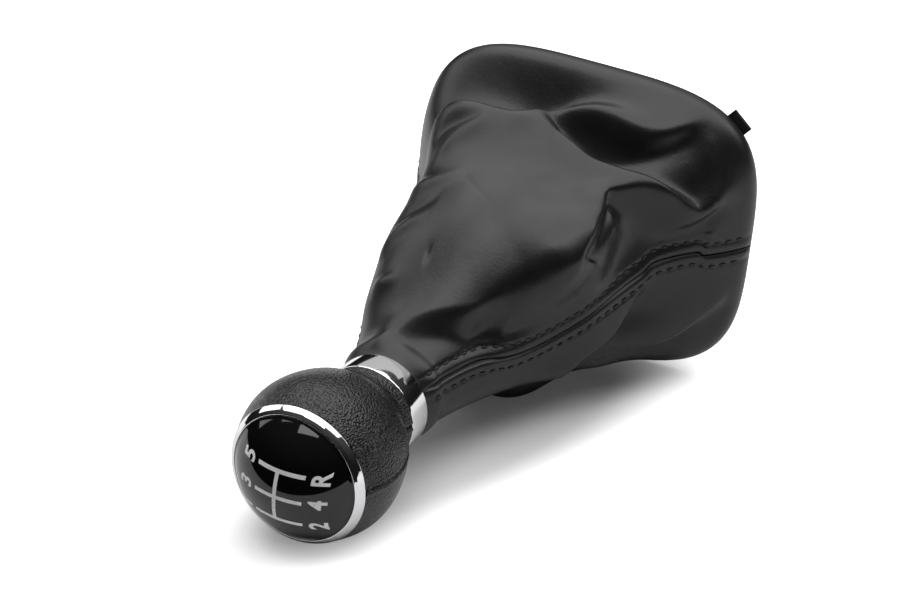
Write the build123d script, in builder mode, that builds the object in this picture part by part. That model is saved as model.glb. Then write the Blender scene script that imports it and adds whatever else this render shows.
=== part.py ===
# Gear shift knob with its leather gaiter, lying on a table as it is sold.
# Millimetres. The lever's axis is Y: the knob's cap faces -Y and the gaiter opens towards +Y.
# The origin is the mouth of the lever bore, and +Z is up from the table.
import os
from math import cos, pi, radians, sin

from build123d import *

os.makedirs("parts", exist_ok=True)

# Lever bore and the slotted sleeve around it
bore_diameter = 12.0
bore_depth = 58.0
sleeve_wall = 3.0
sleeve_reach = 18.0
sleeve_slot_width = 2.0
sleeve_slot_length = 11.0
sleeve_slot_count = 2

# Grip outline, seen from the side: places along the axis are counted from the collar to the cap
grip_collar_radius = 17.6
grip_waist_radius = 17.1
grip_waist_place = 3.0
grip_shoulder_radius = 21.7
grip_shoulder_place = 11.0
grip_flank_radius = 26.7
grip_flank_place = 21.3
grip_ball_radius = 28.3
grip_ball_place = 33.3
grip_front_radius = 25.0
grip_length = 44.8
grip_skin = 1.7
grip_seam_width = 0.6
grip_seam_depth = 0.7
grip_seam_overshoot = 1.0

# Chrome bezel and the domed cap with the shift pattern
bezel_slope = 1.7
bezel_lip = 0.8
bezel_height = 2.9
bezel_seat_depth = 2.4
bezel_flange = 1.0
bezel_flange_width = 2.2
bezel_edge_round = 0.3
bezel_shoulder = 0.6
cap_rise = 12.0
cap_wall = 2.0
cap_skirt_step = 1.8
cap_leg_count = 3
cap_leg_width = 6.0
cap_leg_length = 5.0
cap_leg_root = 2.6
cap_leg_thickness = 1.6

# Chrome collar and the retainer ring that pinches the gaiter's neck
collar_length = 10.6
collar_radius = 17.7
collar_wall = 0.8
collar_web = 1.4
collar_edge_round = 0.3
neck_tuck = 6.0
retainer_wall = 1.8
retainer_web = 1.6

# Ear clamp on the sleeve
clamp_band = 0.9
clamp_width = 7.0
clamp_ear_height = 4.5
clamp_ear_width = 6.0
clamp_setback = 1.5

# Leather gaiter: two panels between the collar and the frame
leather = 1.3
gaiter_length = 115.0
frame_shift_right = 20.0
frame_shift_up = 31.5
frame_roll = 5.0
gaiter_width = 132.5
gaiter_height = 111.0
gaiter_squareness = 3.6
flare_power = 1.25
flare_power_to_the_rear = 0.2
flare_power_to_the_top = -0.15
seam_gap_turn = 0.15
hem_width = 8.5
crown_height = 5.5
shoulder_height = 7.0
tongue_height = 4.0
left_hollow_depth = 10.0
neck_hollow_depth = 3.5
neck_fold_depth = 3.0
rear_dip_depth = 4.0
rear_hollow_depth = 10.0
brow_gutter_depth = 5.0
lip_valley_depth = 7.0
pocket_depth = 8.0
pleat_hollow_depth = 6.0
pleat_drop_depth = 4.0
rear_belly_height = 11.2
front_belly_height = 13.8
rim_hollow_depth = 4.0
panel_stations = 21
panel_points = 18

# Plastic frame inside the gaiter's rim
frame_thickness = 3.4
frame_border = 13.0
frame_wall = 2.0
frame_wall_height = 7.0
hook_width = 12.0
hook_length = 5.5
hook_root = 1.0
hook_thickness = 1.0
hook_barb = 1.6
hook_angles = (15.0, 90.0, 165.0, 195.0, 270.0, 345.0)
corner_tab_angle = 38.0
corner_tab_width = 9.0
corner_tab_reach = 1.2
corner_tab_thickness = 1.2

# Clearances
seat_gap = 0.1
leather_gap = 0.3

# Places that follow from the sizes above
bore_radius = bore_diameter / 2
sleeve_radius = bore_radius + sleeve_wall
collar_end = -sleeve_reach
grip_end = collar_end - collar_length
grip_front = grip_end - grip_length
neck_radius = collar_radius - collar_wall - leather_gap
rim_front = collar_end + gaiter_length
frame_front = rim_front + leather
frame_back = frame_front + frame_thickness
hem_face = frame_back + leather_gap + leather
grip_mouth_radius = grip_front_radius - grip_skin
core_front = grip_front + bezel_seat_depth
bezel_front_radius = grip_front_radius - bezel_slope
bezel_inner = bezel_front_radius - bezel_lip
bezel_top = grip_front - bezel_height
flange_front = core_front - seat_gap - bezel_flange
flange_inner = bezel_inner - bezel_flange_width
cap_radius = bezel_inner - seat_gap
cap_inner = cap_radius - cap_wall
cap_edge = bezel_top + bezel_edge_round


def swell(distance):
    """Smooth hump: one at its middle, nothing from one unit away."""
    reach = min(abs(distance), 1.0)
    return 0.5 + 0.5 * cos(pi * reach)


# Main folds of the slack leather: place along the gaiter (0 collar, 1 rim), place around it
# (degrees, 0 at the rear seam, 90 on top), half length, half angle, height off the plain cone
gaiter_folds = {
    "crown": (0.55, 96.0, 0.30, 58.0, crown_height),
    "shoulder": (0.62, 58.0, 0.22, 30.0, shoulder_height),
    "hollow left of the crown": (0.68, 165.0, 0.28, 42.0, -left_hollow_depth),
    "hollow beside the neck": (0.13, 140.0, 0.13, 50.0, -neck_hollow_depth),
    "fold above the neck": (0.17, 48.0, 0.14, 30.0, -neck_fold_depth),
    "dip above the rear seam": (0.30, 28.0, 0.17, 28.0, -rear_dip_depth),
    "rear hollow": (0.76, 2.0, 0.24, 44.0, -rear_hollow_depth),
    "gutter behind the brow": (0.86, 114.0, 0.13, 44.0, -brow_gutter_depth),
    "valley under the lip": (0.79, 66.0, 0.14, 34.0, -lip_valley_depth),
    "tongue beside the valley": (0.76, 42.0, 0.12, 16.0, tongue_height),
    "pocket": (0.66, 34.0, 0.14, 16.0, -pocket_depth),
    "hollow of the rear pleat": (0.62, 328.0, 0.12, 18.0, -pleat_hollow_depth),
    "drop of the lower pleat": (0.83, 320.0, 0.16, 18.0, -pleat_drop_depth),
    "rear belly": (0.61, 276.0, 0.26, 32.0, rear_belly_height),
    "front belly": (0.64, 241.0, 0.28, 34.0, front_belly_height),
    "hollow under the rim": (0.85, 265.0, 0.15, 70.0, -rim_hollow_depth),
}


def rim_radius(angle, inset):
    """Rounded-square outline of the gaiter's rim, seen along the lever."""
    across = abs(cos(radians(angle)) / (gaiter_width / 2 - inset))
    upward = abs(sin(radians(angle)) / (gaiter_height / 2 - inset))
    return (across**gaiter_squareness + upward**gaiter_squareness) ** (-1 / gaiter_squareness)


def rim_point(angle, inset):
    """Point of the rim's outline, rolled as the gaiter lies."""
    turned = radians(angle - frame_roll)
    reach = rim_radius(angle, inset)
    return (frame_shift_right + reach * cos(turned), frame_shift_up + reach * sin(turned))


def gaiter_point(angle, along, inset):
    """Point of the gaiter's section at one place along it."""
    widening = flare_power + flare_power_to_the_rear * cos(radians(angle))
    widening += flare_power_to_the_top * sin(radians(angle))
    reach = neck_radius + (rim_radius(angle, 0) - neck_radius) * along**widening
    for place, middle, half_length, half_angle, height in gaiter_folds.values():
        turn = (angle - middle + 180) % 360 - 180
        reach += height * swell((along - place) / half_length) * swell(turn / half_angle)
    turned = radians(angle - frame_roll * along)
    reach -= inset
    return (
        frame_shift_right * along + reach * cos(turned),
        frame_shift_up * along + reach * sin(turned),
    )


def grip_outline(inset):
    """Points of the grip's side outline (radius, place along Y), from the collar to the cap."""
    return [
        (grip_collar_radius - inset, grip_end),
        (grip_waist_radius - inset, grip_end - grip_waist_place),
        (grip_shoulder_radius - inset, grip_end - grip_shoulder_place),
        (grip_flank_radius - inset, grip_end - grip_flank_place),
        (grip_ball_radius - inset, grip_end - grip_ball_place),
        (grip_front_radius - inset, grip_front),
    ]


# Grip: a grained skin around the core, with one closed seam on its rear side
with BuildPart() as grip_cover:
    with BuildSketch(Plane.XY):
        with BuildLine():
            outside = Spline(*grip_outline(0))
            inside = Spline(*grip_outline(grip_skin))
            Line(outside @ 0, inside @ 0)
            Line(outside @ 1, inside @ 1)
        make_face()
    revolve(axis=Axis.Y)
    with BuildSketch(Plane.XY):
        with BuildLine():
            outside = Spline(*grip_outline(-grip_seam_overshoot))
            inside = Spline(*grip_outline(grip_seam_depth))
            Line(outside @ 0, inside @ 0)
            Line(outside @ 1, inside @ 1)
        make_face()
    extrude(amount=grip_seam_width / 2, both=True, mode=Mode.SUBTRACT)

# Core: fills the grip and carries the bore and the slotted sleeve
with BuildPart() as knob_core:
    with BuildSketch(Plane.XY):
        with BuildLine():
            outside = Spline(*grip_outline(grip_skin + seat_gap))
            Polyline(
                outside @ 1,
                (0, grip_front),
                (0, grip_end),
                outside @ 0,
            )
        make_face()
    revolve(axis=Axis.Y)
    with BuildSketch(Plane.XZ.offset(-grip_end)):
        Circle(sleeve_radius)
    extrude(amount=grip_end)
    with BuildSketch(Plane.XZ.offset(-grip_front)):
        Circle(grip_front_radius)
    extrude(amount=-bezel_seat_depth, mode=Mode.SUBTRACT)
    with BuildSketch(Plane.XZ.offset(-core_front)):
        Circle(flange_inner)
    extrude(amount=-cap_leg_length - seat_gap, mode=Mode.SUBTRACT)
    with BuildSketch(Plane.XZ):
        Circle(bore_radius)
    extrude(amount=bore_depth, mode=Mode.SUBTRACT)
    with BuildSketch(Plane.XZ):
        with PolarLocations(0, sleeve_slot_count // 2, 90):
            Rectangle(3 * sleeve_radius, sleeve_slot_width)
    extrude(amount=sleeve_slot_length, mode=Mode.SUBTRACT)

# Bezel: chrome ring with a rounded slope up to a thin inner lip, and a flange under the cap
with BuildPart() as cap_bezel:
    with BuildSketch(Plane.XY):
        with BuildLine():
            foot = grip_front - seat_gap
            slope = Polyline(
                (bezel_front_radius - bezel_edge_round, bezel_top),
                (bezel_inner, bezel_top),
                (bezel_inner, flange_front),
                (flange_inner, flange_front),
                (flange_inner, core_front - seat_gap),
                (grip_mouth_radius - seat_gap, core_front - seat_gap),
                (grip_mouth_radius - seat_gap, foot),
                (grip_front_radius, foot),
            )
            ThreePointArc(
                slope @ 1,
                (grip_front_radius - bezel_edge_round, foot - bezel_shoulder * bezel_height),
                slope @ 0,
            )
        make_face()
    revolve(axis=Axis.Y)

# Cap: a thin dome with a skirt and snap legs behind it
with BuildPart() as pattern_cap:
    with BuildSketch(Plane.XY):
        with BuildLine():
            crown = (0, cap_edge - cap_rise)
            hollow = (0, cap_edge - cap_rise + cap_wall)
            face = TangentArc(crown, (cap_radius, cap_edge), tangent=(1, 0))
            back = TangentArc(hollow, (cap_inner, cap_edge + cap_skirt_step), tangent=(1, 0))
            Line(crown, hollow)
            Polyline(
                back @ 1,
                (cap_inner, flange_front - seat_gap),
                (cap_radius, flange_front - seat_gap),
                face @ 1,
            )
        make_face()
    revolve(axis=Axis.Y)
    leg_end = core_front + cap_leg_length
    with BuildSketch(Plane.XZ.offset(-leg_end)):
        with PolarLocations(flange_inner - leather_gap - cap_leg_thickness / 2, cap_leg_count):
            Rectangle(cap_leg_thickness, cap_leg_width)
    extrude(amount=leg_end - cap_edge + cap_leg_root)

# Collar: chrome sleeve with a web that is held between the core and the retainer
with BuildPart() as neck_collar:
    with BuildSketch(Plane.XY):
        with BuildLine():
            collar_start = grip_end + seat_gap
            Polyline(
                (sleeve_radius + seat_gap, collar_start),
                (collar_radius, collar_start),
                (collar_radius, collar_end),
                (collar_radius - collar_wall, collar_end),
                (collar_radius - collar_wall, collar_start + collar_web),
                (sleeve_radius + seat_gap, collar_start + collar_web),
                close=True,
            )
        make_face()
    revolve(axis=Axis.Y)
    rims = neck_collar.edges().filter_by(GeomType.CIRCLE).sort_by(SortBy.RADIUS)[-2:]
    fillet(rims, collar_edge_round)

# Retainer: a ring pressed on the sleeve that holds the gaiter's neck against the collar
with BuildPart() as gaiter_retainer:
    with BuildSketch(Plane.XY):
        with BuildLine():
            retainer_start = grip_end + collar_web + 2 * seat_gap
            retainer_radius = neck_radius - leather - leather_gap
            retainer_inner = retainer_radius - retainer_wall
            Polyline(
                (sleeve_radius + seat_gap, retainer_start),
                (retainer_radius, retainer_start),
                (retainer_radius, collar_end),
                (retainer_inner, collar_end),
                (retainer_inner, retainer_start + retainer_web),
                (sleeve_radius + seat_gap, retainer_start + retainer_web),
                close=True,
            )
        make_face()
    revolve(axis=Axis.Y)

# Ear clamp: a steel band with one crimped ear
with BuildPart() as sleeve_clamp:
    with BuildSketch(Plane.XZ.offset(clamp_setback)):
        Circle(sleeve_radius + seat_gap + clamp_band)
        with Locations((0, sleeve_radius + clamp_ear_height / 2)):
            RectangleRounded(clamp_ear_width, clamp_ear_height + clamp_band, clamp_band)
        with Locations((0, sleeve_radius + clamp_ear_height / 2)):
            Rectangle(clamp_ear_width - 2 * clamp_band, clamp_ear_height - clamp_band, mode=Mode.SUBTRACT)
        Circle(sleeve_radius + seat_gap, mode=Mode.SUBTRACT)
    extrude(amount=clamp_width)


def gaiter_panel(first_angle):
    """One leather panel: half of the gaiter, from seam to seam, with its neck and its hem."""
    turns = [
        first_angle + seam_gap_turn + (180 - 2 * seam_gap_turn) * number / (panel_points - 1)
        for number in range(panel_points)
    ]

    def section(height, along):
        with BuildSketch(Plane.XZ.offset(-height)) as band:
            with BuildLine():
                outside = Spline(*[gaiter_point(turn, along, 0) for turn in turns])
                inside = Spline(*[gaiter_point(turn, along, leather) for turn in turns])
                Line(outside @ 0, inside @ 0)
                Line(outside @ 1, inside @ 1)
            make_face()
        return band.sketch

    with BuildPart() as panel:
        bands = []
        for number in range(panel_stations):
            along = number / (panel_stations - 1)
            bands.append(section(collar_end + gaiter_length * along, along))
        loft(bands)
        extrude(bands[0], amount=neck_tuck)
        extrude(bands[-1], amount=rim_front - hem_face)
        with BuildSketch(Plane.XZ.offset(-hem_face)):
            with BuildLine():
                outside = Spline(*[rim_point(turn, 0) for turn in turns])
                inside = Spline(*[rim_point(turn, hem_width) for turn in turns])
                Line(outside @ 0, inside @ 0)
                Line(outside @ 1, inside @ 1)
            make_face()
        extrude(amount=leather)
    return panel


gaiter_panel_upper = gaiter_panel(0)
gaiter_panel_lower = gaiter_panel(180)


def rim_face(height, inset):
    """Face inside the rim's outline, at one place along the lever."""
    turns = [180 * number / panel_points for number in range(2 * panel_points)]
    with BuildSketch(Plane.XZ.offset(-height)) as face:
        with BuildLine():
            Spline(*[rim_point(turn, inset) for turn in turns], periodic=True)
        make_face()
    return face.sketch


def rim_plane(angle, inset, height):
    """Plane across the rim: x points out of the outline and y along the lever."""
    before = Vector(*rim_point(angle - 1, inset))
    after = Vector(*rim_point(angle + 1, inset))
    along_rim = (after - before).normalized()
    place = rim_point(angle, inset)
    return Plane(
        origin=(place[0], height, place[1]),
        x_dir=(along_rim.Y, 0, -along_rim.X),
        z_dir=(along_rim.X, 0, along_rim.Y),
    )


# Frame: a plastic ring inside the rim, with a wall and snap hooks that hold it in the console
rim_inset = leather + leather_gap
wall_inset = rim_inset + frame_border - frame_wall
wall_end = frame_back + frame_wall_height
with BuildPart() as gaiter_frame:
    extrude(rim_face(frame_back, rim_inset), amount=frame_thickness)
    extrude(rim_face(wall_end, wall_inset), amount=frame_wall_height)
    opening = rim_face(wall_end, rim_inset + frame_border)
    extrude(opening, amount=frame_wall_height + frame_thickness, mode=Mode.SUBTRACT)
    for angle in hook_angles:
        with BuildSketch(rim_plane(angle, wall_inset, wall_end)):
            with BuildLine():
                hook_inside = -(frame_wall + hook_thickness) / 2
                hook_outside = hook_inside + hook_thickness
                barb_foot = hook_length - 2 * hook_barb
                Polyline(
                    (hook_inside, -hook_root),
                    (hook_inside, hook_length),
                    (0, hook_length),
                    (hook_barb, barb_foot),
                    (hook_outside, barb_foot),
                    (hook_outside, -hook_root),
                    close=True,
                )
            make_face()
        extrude(amount=hook_width / 2, both=True)
    with BuildSketch(rim_plane(corner_tab_angle, wall_inset, hem_face + leather_gap)):
        with BuildLine():
            to_outline = rim_radius(corner_tab_angle, 0) - rim_radius(corner_tab_angle, wall_inset)
            Polyline(
                (-frame_wall / 2, 0),
                (to_outline + corner_tab_reach, 0),
                (to_outline + corner_tab_reach, corner_tab_thickness),
                (-frame_wall / 2, corner_tab_thickness),
                close=True,
            )
        make_face()
    extrude(amount=corner_tab_width / 2, both=True)

pieces = {
    "pattern_cap": pattern_cap,
    "cap_bezel": cap_bezel,
    "grip_cover": grip_cover,
    "knob_core": knob_core,
    "neck_collar": neck_collar,
    "gaiter_retainer": gaiter_retainer,
    "sleeve_clamp": sleeve_clamp,
    "gaiter_panel_upper": gaiter_panel_upper,
    "gaiter_panel_lower": gaiter_panel_lower,
    "gaiter_frame": gaiter_frame,
}
for name, piece in pieces.items():
    piece.part.label = name
    export_step(piece.part, f"parts/{name}.step")
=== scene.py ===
# %% [markdown]
# # A gear shift knob with its leather gaiter
# The part lies on its side on a white sheet, as such spare parts are photographed for sale. The CAD frame
# holds every piece at its real size. This lesson dresses that frame: it turns the knob's shells on a lathe,
# sews the slack leather between collar and rim, prints the shift pattern and gives each surface its finish.

# %% Load the frame
import math

import bmesh
import bpy
import numpy as np
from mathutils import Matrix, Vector


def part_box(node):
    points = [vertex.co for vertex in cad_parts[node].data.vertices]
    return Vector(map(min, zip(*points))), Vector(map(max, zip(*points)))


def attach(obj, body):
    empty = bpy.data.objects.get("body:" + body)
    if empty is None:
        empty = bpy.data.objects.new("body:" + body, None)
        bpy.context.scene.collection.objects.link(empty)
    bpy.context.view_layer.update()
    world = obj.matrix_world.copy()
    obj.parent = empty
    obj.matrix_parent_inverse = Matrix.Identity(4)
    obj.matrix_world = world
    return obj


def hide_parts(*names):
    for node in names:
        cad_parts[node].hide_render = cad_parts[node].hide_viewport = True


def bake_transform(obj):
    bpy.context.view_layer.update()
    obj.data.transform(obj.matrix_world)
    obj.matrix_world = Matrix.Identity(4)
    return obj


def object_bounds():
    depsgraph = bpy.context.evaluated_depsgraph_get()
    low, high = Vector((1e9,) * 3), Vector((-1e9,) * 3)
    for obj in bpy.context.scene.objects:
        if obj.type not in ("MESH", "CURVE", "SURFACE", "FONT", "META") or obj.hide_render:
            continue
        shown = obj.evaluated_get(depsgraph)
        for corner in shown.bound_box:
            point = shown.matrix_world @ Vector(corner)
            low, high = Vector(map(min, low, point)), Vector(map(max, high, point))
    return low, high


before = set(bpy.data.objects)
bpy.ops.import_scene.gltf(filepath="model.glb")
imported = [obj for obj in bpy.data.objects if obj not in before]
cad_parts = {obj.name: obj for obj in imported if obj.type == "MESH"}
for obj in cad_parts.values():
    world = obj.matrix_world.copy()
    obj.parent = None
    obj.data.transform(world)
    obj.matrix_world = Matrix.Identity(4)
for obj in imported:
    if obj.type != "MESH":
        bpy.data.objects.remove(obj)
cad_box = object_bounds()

print("nodes:", sorted(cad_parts))

# %% [markdown]
# ## Small helpers
# Real sizes read best in millimetres, while Blender works in metres, so one function converts. Colours are
# written as sRGB hex values, which a shader needs as linear light. A mesh piece is made from points and
# faces, and a turned piece from a side outline that is spun about the lever's axis, which is Y here.

# %% Helpers for sizes, colours and meshes
MM = 0.001
SPIN_STEPS = 192
WELD_MM = 0.002


def linear(hex_colour):
    """sRGB hex colour as linear RGBA."""
    channels = [int(hex_colour[place:place + 2], 16) / 255 for place in (1, 3, 5)]
    return [c / 12.92 if c <= 0.04045 else ((c + 0.055) / 1.055) ** 2.4 for c in channels] + [1.0]


def mesh_piece(name, points_mm, faces, smooth=True):
    """A mesh object from points in millimetres."""
    mesh = bpy.data.meshes.new(name)
    mesh.from_pydata((np.asarray(points_mm) * MM).tolist(), [], faces)
    mesh.validate()
    mesh.polygons.foreach_set("use_smooth", [smooth] * len(mesh.polygons))
    mesh.update()
    piece = bpy.data.objects.new(name, mesh)
    bpy.context.scene.collection.objects.link(piece)
    return piece


def grid_faces(rows, columns, closed=False):
    """Quads of a grid of points that was laid out row by row."""
    steps = columns if closed else columns - 1
    faces = []
    for row in range(rows - 1):
        for column in range(steps):
            after = (column + 1) % columns
            here = row * columns
            above = here + columns
            faces.append((here + column, above + column, above + after, here + after))
    return faces


def joined(parts):
    """Points and faces of several meshes, put together as one."""
    points, faces = [], []
    for part_points, part_faces in parts:
        first = len(points)
        points += part_points
        faces += [tuple(first + corner for corner in face) for face in part_faces]
    return points, faces


def lengths_along(line):
    """Length from the first point of a line to each of its points."""
    return np.concatenate([[0], np.cumsum(np.linalg.norm(np.diff(line, axis=0), axis=1))])


def point_outward(piece):
    """Turns the faces of a closed piece so that they point outward."""
    work = bmesh.new()
    work.from_mesh(piece.data)
    bmesh.ops.recalc_face_normals(work, faces=work.faces)
    work.to_mesh(piece.data)
    work.free()


def spun(name, outline):
    """A closed outline of (radius, place along Y) spun about the Y axis."""
    outline = np.asarray(outline, float)
    turns = np.linspace(0, 2 * math.pi, SPIN_STEPS, endpoint=False)
    points = np.array([
        (radius * math.cos(turn), place, radius * math.sin(turn))
        for radius, place in np.vstack([outline, outline[:1]])
        for turn in turns
    ])
    piece = mesh_piece(name, points, grid_faces(len(outline) + 1, SPIN_STEPS, closed=True))
    point_outward(piece)
    weld = piece.modifiers.new("weld", "WELD")
    weld.merge_threshold = WELD_MM * MM
    return piece


def arc(centre, radius, first, last, count):
    """Points on an arc, angles in degrees from the radius axis."""
    return [
        (centre[0] + radius * math.cos(math.radians(turn)), centre[1] + radius * math.sin(math.radians(turn)))
        for turn in np.linspace(first, last, count)
    ]


print("white in linear light:", linear("#ffffff")[:3])

# %% [markdown]
# ## Camera
# The photograph looks down at the knob from its front right. Azimuth, elevation and distance were read from
# the ellipses of the bezel and the ball, and the long lens keeps the gaiter's rim from looking small.

# %% Camera
CAMERA_PLACE = Vector((0.35406, -0.64086, 0.39280))
CAMERA_LOOK = Vector((-0.4132, 0.7938, -0.4462))
LENS_MM = 93.913
SENSOR_MM = 36.0
NEAREST_VIEW = 0.01

camera = bpy.data.objects.new("camera", bpy.data.cameras.new("camera"))
bpy.context.scene.collection.objects.link(camera)
camera.location = CAMERA_PLACE
camera.rotation_euler = CAMERA_LOOK.to_track_quat("-Z", "Y").to_euler()
camera.data.lens = LENS_MM
camera.data.sensor_width = SENSOR_MM
camera.data.clip_start = NEAREST_VIEW
bpy.context.scene.camera = camera
bpy.context.scene.view_settings.view_transform = "Standard"
print("camera at", tuple(round(c, 3) for c in camera.location))

# %% [markdown]
# ## Adding shader nodes
# Every finish below is a small tree of shader nodes. One function adds a node, sets its properties, fills
# its sockets and links what feeds it, so a material reads from top to bottom like a recipe.

# %% Functions that add nodes
def add(tree, kind, settings=None, **sockets):
    """Adds a node. settings are its properties, sockets its inputs: a value, or an output to link."""
    node = tree.nodes.new(kind)
    for name, value in (settings or {}).items():
        setattr(node, name, value)
    for name, value in sockets.items():
        key = int(name[1:]) if name[0] == "_" else name.replace("_", " ")
        if isinstance(value, bpy.types.NodeSocket):
            tree.links.new(value, node.inputs[key])
        else:
            node.inputs[key].default_value = value
    return node


def noise(tree, place, size_mm, detail):
    """Adds a noise texture whose spots are about so many millimetres wide."""
    return add(tree, "ShaderNodeTexNoise", Vector=place, Scale=1 / (size_mm * MM), Detail=detail)


def new_material(name):
    """A node material with an empty tree, and that tree."""
    material = bpy.data.materials.new(name)
    material.use_nodes = True
    tree = material.node_tree
    tree.nodes.clear()
    return material, tree


print("node functions ready")

# %% [markdown]
# ## White sheet and dark room
# The photograph has no edge between sheet and background, and its shadow stays close to the part. A sheet
# that is lit by lamps alone turns grey, so outside a long oval under the part it glows a little by
# itself. Within the oval that glow fades out, which paints shade under the part on top of the lamps' own
# shadow. Chrome and gloss mirror that glow only far from the part, and a dark room above it, which keeps the
# black cap black. The camera sees the room as white.

# %% Sheet and backdrop
FLOOR_Z = cad_box[0].z
SHEET = {"left": -1.1, "right": 1.1, "front": -0.15, "back": 1.6}
SHADE_OVAL_PLACE = (0.016, 0.020, FLOOR_Z)
SHADE_OVAL_TURN = (0.0, 0.0, math.radians(-18))
SHADE_OVAL_SIZE = (0.042, 0.145, 1.0)
# Glow from its start to its full strength, by distance from the oval's middle in units of the oval.
# The low glow within the oval paints shade under the part.
GLOW_SEEN = {"From_Min": 0.45, "From_Max": 1.1, "To_Min": 0.05, "To_Max": 0.9}
GLOW_MIRRORED = {"From_Min": 2.4, "From_Max": 6.0, "To_Min": 0.0, "To_Max": 0.22}
# Light of the room by height, from the horizon to the ceiling
ROOM_LIGHT = {"From_Min": 0.1, "From_Max": 0.9, "To_Min": 0.01, "To_Max": 0.07}

sheet_points = [
    (SHEET["left"], SHEET["front"]),
    (SHEET["right"], SHEET["front"]),
    (SHEET["right"], SHEET["back"]),
    (SHEET["left"], SHEET["back"]),
]
sheet_points = [(x / MM, y / MM, FLOOR_Z / MM) for x, y in sheet_points]
floor = mesh_piece("white_sheet", sheet_points, [(0, 1, 2, 3)])
paper, tree = new_material("matt white paper")
path = add(tree, "ShaderNodeLightPath")
place = add(tree, "ShaderNodeTexCoord").outputs["Object"]
# Painted shade: the glow fades out within this oval under the part, so the sheet there is darker than the
# rest, beyond the lamps' own shadow.
oval = add(tree, "ShaderNodeMapping", {"vector_type": "TEXTURE"}, Vector=place,
           Location=SHADE_OVAL_PLACE, Rotation=SHADE_OVAL_TURN, Scale=SHADE_OVAL_SIZE)
away = add(tree, "ShaderNodeVectorMath", {"operation": "LENGTH"}, _0=oval.outputs[0])
shown = add(tree, "ShaderNodeMapRange", {"interpolation_type": "SMOOTHSTEP"}, Value=away.outputs["Value"],
            **GLOW_SEEN)
mirrored = add(tree, "ShaderNodeMapRange", {"interpolation_type": "SMOOTHSTEP"}, Value=away.outputs["Value"],
               **GLOW_MIRRORED)
to_eye = add(tree, "ShaderNodeMath", {"operation": "MULTIPLY"}, _0=path.outputs["Is Camera Ray"],
             _1=shown.outputs[0])
to_gloss = add(tree, "ShaderNodeMath", {"operation": "MULTIPLY"}, _0=path.outputs["Is Glossy Ray"],
               _1=mirrored.outputs[0])
lift = add(tree, "ShaderNodeMath", {"operation": "ADD"}, _0=to_eye.outputs[0], _1=to_gloss.outputs[0])
matt = add(tree, "ShaderNodeBsdfDiffuse", Color=linear("#e0e0e0"))
glow = add(tree, "ShaderNodeEmission", Color=linear("#ffffff"), Strength=lift.outputs[0])
both = add(tree, "ShaderNodeAddShader", _0=matt.outputs[0], _1=glow.outputs[0])
add(tree, "ShaderNodeOutputMaterial", Surface=both.outputs[0])
floor.data.materials.append(paper)

world = bpy.data.worlds.new("room")
bpy.context.scene.world = world
world.use_nodes = True
tree = world.node_tree
tree.nodes.clear()
path = add(tree, "ShaderNodeLightPath")
direction = add(tree, "ShaderNodeTexCoord")
height = add(tree, "ShaderNodeSeparateXYZ", Vector=direction.outputs["Generated"])
ceiling = add(tree, "ShaderNodeMapRange", {"interpolation_type": "SMOOTHSTEP"},
              Value=height.outputs["Z"], **ROOM_LIGHT)
dark_room = add(tree, "ShaderNodeBackground", Color=linear("#ffffff"), Strength=ceiling.outputs[0])
white = add(tree, "ShaderNodeBackground", Color=linear("#ffffff"), Strength=1.0)
shown = add(tree, "ShaderNodeMixShader", Fac=path.outputs["Is Camera Ray"], _1=dark_room.outputs[0],
            _2=white.outputs[0])
add(tree, "ShaderNodeOutputWorld", Surface=shown.outputs[0])
print("floor at", round(FLOOR_Z / MM, 1), "mm")

# %% [markdown]
# ## Soft lamps
# Gloss tells where the lamps stand. The top of the collar mirrors a long light behind the part, the crown
# of the leather a large one that hangs above it, and the bulge beside the crown a smaller one high in
# front. Two more, on the left and the right, model the sides. Each is an area lamp given by its turn
# about the part, its rise over the sheet and its distance, and it is aimed at the part's middle.

# %% Soft lamps
LAMP_AIM = Vector((0.01, 0.02, 0.02))
LAMPS = {
    "overhead softbox": {"turn": 180, "rise": 80, "away": 0.97, "size": (1.8, 1.25), "watts": 16},
    "back softbox": {"turn": 196, "rise": 33, "away": 1.3, "size": (1.7, 0.55), "watts": 1.6},
    "left softbox": {"turn": 266, "rise": 31, "away": 1.2, "size": (0.6, 0.6), "watts": 2},
    "side softbox": {"turn": 118, "rise": 38, "away": 1.2, "size": (0.4, 0.34), "watts": 1.2},
    "front softbox": {"turn": 6, "rise": 64, "away": 1.2, "size": (0.6, 0.35), "watts": 2.2},
}
for name, lamp in LAMPS.items():
    turn = math.radians(lamp["turn"])
    rise = math.radians(lamp["rise"])
    out = Vector((math.sin(turn) * math.cos(rise), -math.cos(turn) * math.cos(rise), math.sin(rise)))
    light = bpy.data.lights.new(name, "AREA")
    light.shape = "RECTANGLE"
    light.size, light.size_y = lamp["size"]
    light.energy = lamp["watts"]
    holder = bpy.data.objects.new(name, light)
    bpy.context.scene.collection.objects.link(holder)
    holder.location = LAMP_AIM + out * lamp["away"]
    holder.rotation_euler = (-out).to_track_quat("-Z", "Y").to_euler()
    holder.visible_camera = False
print("lamps:", list(LAMPS))

# %% [markdown]
# ## Finishes of the knob
# The cap is black ABS out of a polished mould. The bezel and the collar are ABS plated with bright chrome.
# The grip is covered in a grained polyurethane skin, embossed like pebbled leather.

# %% ABS, chrome, ink and grip skin
def piano_black():
    """Black ABS from a polished mould: near-mirror gloss, with faint hairlines from wiping."""
    material, tree = new_material("polished black ABS")
    wipe_mm = 16.67
    place = add(tree, "ShaderNodeTexCoord").outputs["Object"]
    wipes = noise(tree, place, wipe_mm, 4.0)
    gloss = add(tree, "ShaderNodeMapRange", Value=wipes.outputs[0], To_Min=0.03, To_Max=0.07)
    skin = add(tree, "ShaderNodeBsdfPrincipled", Base_Color=linear("#0b0b0c"), IOR=1.53,
               Roughness=gloss.outputs[0])
    add(tree, "ShaderNodeOutputMaterial", Surface=skin.outputs[0])
    return material


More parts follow.
